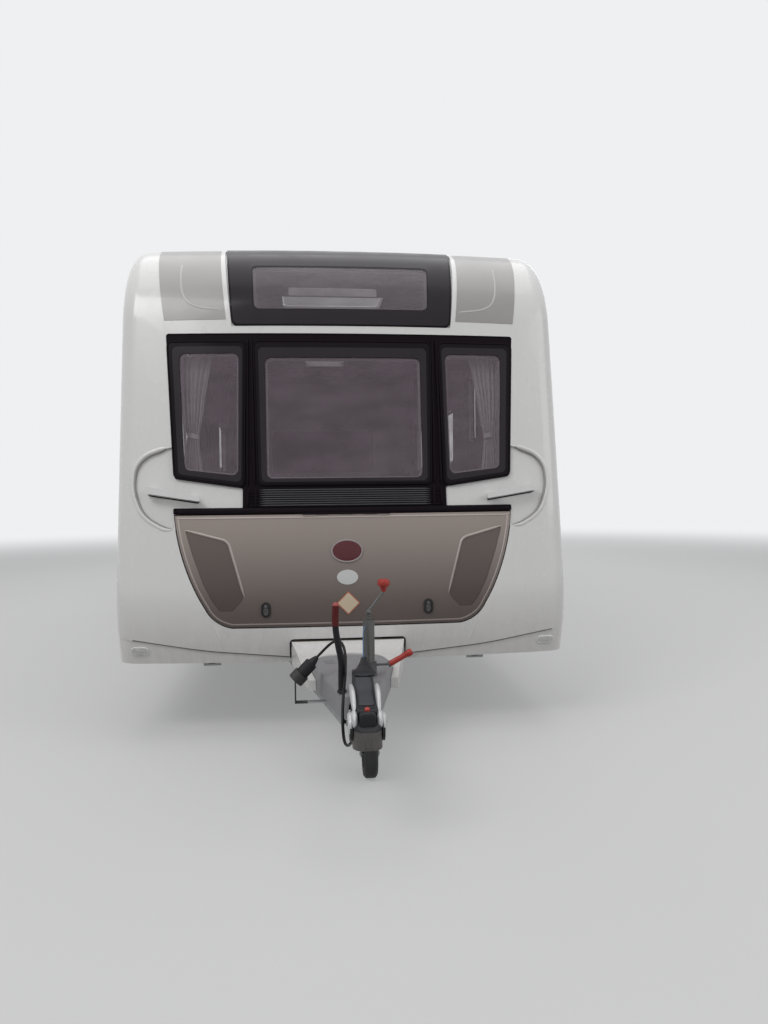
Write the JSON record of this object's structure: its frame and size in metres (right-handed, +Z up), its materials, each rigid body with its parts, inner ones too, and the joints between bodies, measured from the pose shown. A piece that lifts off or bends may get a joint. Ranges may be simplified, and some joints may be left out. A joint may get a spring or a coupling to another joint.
{
  "type": "touring caravan",
  "caption": "Single-axle touring caravan with bowed glazed front, gas locker, side door, service flaps, drawbar with stabiliser coupling, jockey wheel and folding corner steadies.",
  "frame": {"origin": "on the ground, under the middle of the whole length and width", "axes": "+Z up, +Y towards the rear, +X towards the nearside with the entrance door"},
  "size_m": [2.306, 7.3, 2.65],
  "materials": {
    "white_moulding": "glossy moulded white panels",
    "side_skin": "white painted side skin",
    "bronze_grey": "bronze-grey metallic",
    "window_black": "black glazed surround",
    "tinted_pane": "tinted acrylic",
    "grip_white": "satin white grips",
    "lamp_lens": "clear and red lenses",
    "fitting_black": "black latches and bare ovals",
    "liner_grey": "moulded grey liner",
    "arch_black": "black wheel arch liner",
    "floor_board": "sandwich floor",
    "anodised": "white anodised rail",
    "galvanised": "galvanised steel",
    "alloy": "cast alloy",
    "tyre": "black tyre",
    "cover_grey": "grey moulded cover",
    "coupling_cast": "cast coupling",
    "bellows": "black bellows over a steel tube",
    "handle_black": "black moulded handle",
    "lever": "black lever with a dark red grip",
    "jockey_rubber": "solid rubber wheel",
    "plug_black": "black plug",
    "cable_black": "black cable sheath",
    "veneer": "light veneer",
    "upholstery": "woven upholstery",
    "curtain": "pale curtain cloth"
  },
  "bodies": {
    "caravan": {"front_panel": "white_moulding", "front_bumper": "white_moulding", "roof_panel": "white_moulding", "rear_panel": "white_moulding", "drawbar_hood": "white_moulding", "rear_bumper": "white_moulding", "skirts": "white_moulding", "nearside_wall": "side_skin", "offside_wall": "side_skin", "corner_panels": "bronze_grey", "front_window_band": "window_black", "front_windows": "tinted_pane", "side_windows": "tinted_pane", "sunroof": "tinted_pane", "roof_lights": "tinted_pane", "grab_handles": "grip_white", "lamps": "lamp_lens", "locker_box": "liner_grey", "hatch_liners": "liner_grey", "arch_liners": "arch_black", "floor": "floor_board", "awning_rails": "anodised", "chassis_rails": "galvanised", "drawbar_rails": "galvanised", "cross_members": "galvanised", "axle": "galvanised", "steady_brackets": "galvanised", "jockey_tube": "galvanised", "jockey_clamp": "galvanised", "drawbar_cover": "cover_grey", "coupling_head": "coupling_cast", "overrun_tube": "bellows", "coupling_handle": "handle_black", "handbrake": "lever", "plug": "plug_black", "cable": "cable_black", "furniture": "veneer", "cushions": "upholstery", "curtains": "curtain"},
    "nearside_wheel": {"nearside_rim": "alloy", "nearside_tyre": "tyre"},
    "offside_wheel": {"offside_rim": "alloy", "offside_tyre": "tyre"},
    "gas_locker_lid": {"locker_lid": "bronze_grey", "lid_fittings": "fitting_black"},
    "entrance_door": {"door": "side_skin", "door_window": "tinted_pane"},
    "battery_flap": {"battery_hatch": "white_moulding"},
    "cassette_flap": {"cassette_hatch": "white_moulding"},
    "jockey_leg": {"jockey_stem": "galvanised"},
    "jockey_swivel": {"jockey_fork": "galvanised"},
    "jockey_roller": {"jockey_wheel": "jockey_rubber"},
    "front_nearside_arm": {"front_nearside_strut": "galvanised"},
    "front_nearside_steady": {"front_nearside_leg": "galvanised"},
    "front_offside_arm": {"front_offside_strut": "galvanised"},
    "front_offside_steady": {"front_offside_leg": "galvanised"},
    "rear_nearside_arm": {"rear_nearside_strut": "galvanised"},
    "rear_nearside_steady": {"rear_nearside_leg": "galvanised"},
    "rear_offside_arm": {"rear_offside_strut": "galvanised"},
    "rear_offside_steady": {"rear_offside_leg": "galvanised"}
  },
  "joints": [
    {"name": "nearside_wheel_spin", "type": "hinge", "parent": "caravan", "child": "nearside_wheel", "pos_m": [1.004, 0.8, 0.317], "axis": [1, 0, 0], "continuous": true},
    {"name": "offside_wheel_spin", "type": "hinge", "parent": "caravan", "child": "offside_wheel", "pos_m": [-1.004, 0.8, 0.317], "axis": [1, 0, 0], "continuous": true},
    {"name": "gas_locker_lid_hinge", "type": "hinge", "parent": "caravan", "child": "gas_locker_lid", "pos_m": [0, -2.323, 1.1035], "axis": [-1, 0, 0], "range_deg": [0, 80]},
    {"name": "entrance_door_hinge", "type": "hinge", "parent": "caravan", "child": "entrance_door", "pos_m": [1.148, -0.433, 1.4], "axis": [0, 0, -1], "range_deg": [0, 170]},
    {"name": "battery_flap_hinge", "type": "hinge", "parent": "caravan", "child": "battery_flap", "pos_m": [1.148, 1.64, 0.888], "axis": [0, -1, 0], "range_deg": [0, 100]},
    {"name": "cassette_flap_hinge", "type": "hinge", "parent": "caravan", "child": "cassette_flap", "pos_m": [-1.148, 2.837, 0.77], "axis": [0, 0, 1], "range_deg": [0, 120]},
    {"name": "jockey_slide", "type": "slide", "parent": "caravan", "child": "jockey_leg", "axis": [0, 0, 1], "range_m": [-0.1, 0.08]},
    {"name": "jockey_swivel_turn", "type": "hinge", "parent": "jockey_leg", "child": "jockey_swivel", "pos_m": [0.058, -2.945, 0.223], "axis": [0, 0, 1], "continuous": true},
    {"name": "jockey_roller_spin", "type": "hinge", "parent": "jockey_swivel", "child": "jockey_roller", "pos_m": [0.058, -2.915, 0.1], "axis": [1, 0, 0], "continuous": true},
    {"name": "front_nearside_arm_fold", "type": "hinge", "parent": "caravan", "child": "front_nearside_arm", "pos_m": [0.7, -2.065, 0.392], "axis": [-1, 0, 0], "range_deg": [0, 54]},
    {"name": "front_nearside_steady_fold", "type": "hinge", "parent": "front_nearside_arm", "child": "front_nearside_steady", "pos_m": [0.7, -1.84714, 0.36138], "axis": [-1, 0, 0], "range_deg": [-108, 0]},
    {"name": "front_offside_arm_fold", "type": "hinge", "parent": "caravan", "child": "front_offside_arm", "pos_m": [-0.7, -2.065, 0.392], "axis": [-1, 0, 0], "range_deg": [0, 54]},
    {"name": "front_offside_steady_fold", "type": "hinge", "parent": "front_offside_arm", "child": "front_offside_steady", "pos_m": [-0.7, -1.84714, 0.36138], "axis": [-1, 0, 0], "range_deg": [-108, 0]},
    {"name": "rear_nearside_arm_fold", "type": "hinge", "parent": "caravan", "child": "rear_nearside_arm", "pos_m": [0.7, 3.28, 0.392], "axis": [1, 0, 0], "range_deg": [0, 54]},
    {"name": "rear_nearside_steady_fold", "type": "hinge", "parent": "rear_nearside_arm", "child": "rear_nearside_steady", "pos_m": [0.7, 3.06214, 0.36138], "axis": [1, 0, 0], "range_deg": [-108, 0]},
    {"name": "rear_offside_arm_fold", "type": "hinge", "parent": "caravan", "child": "rear_offside_arm", "pos_m": [-0.7, 3.28, 0.392], "axis": [1, 0, 0], "range_deg": [0, 54]},
    {"name": "rear_offside_steady_fold", "type": "hinge", "parent": "rear_offside_arm", "child": "rear_offside_steady", "pos_m": [-0.7, 3.06214, 0.36138], "axis": [1, 0, 0], "range_deg": [-108, 0]}
  ],
  "couplings": [
    {"joint": "front_nearside_steady_fold", "follows": "front_nearside_arm_fold", "ratio": -2},
    {"joint": "front_offside_steady_fold", "follows": "front_offside_arm_fold", "ratio": -2},
    {"joint": "rear_nearside_steady_fold", "follows": "rear_nearside_arm_fold", "ratio": -2},
    {"joint": "rear_offside_steady_fold", "follows": "rear_offside_arm_fold", "ratio": -2}
  ]
}
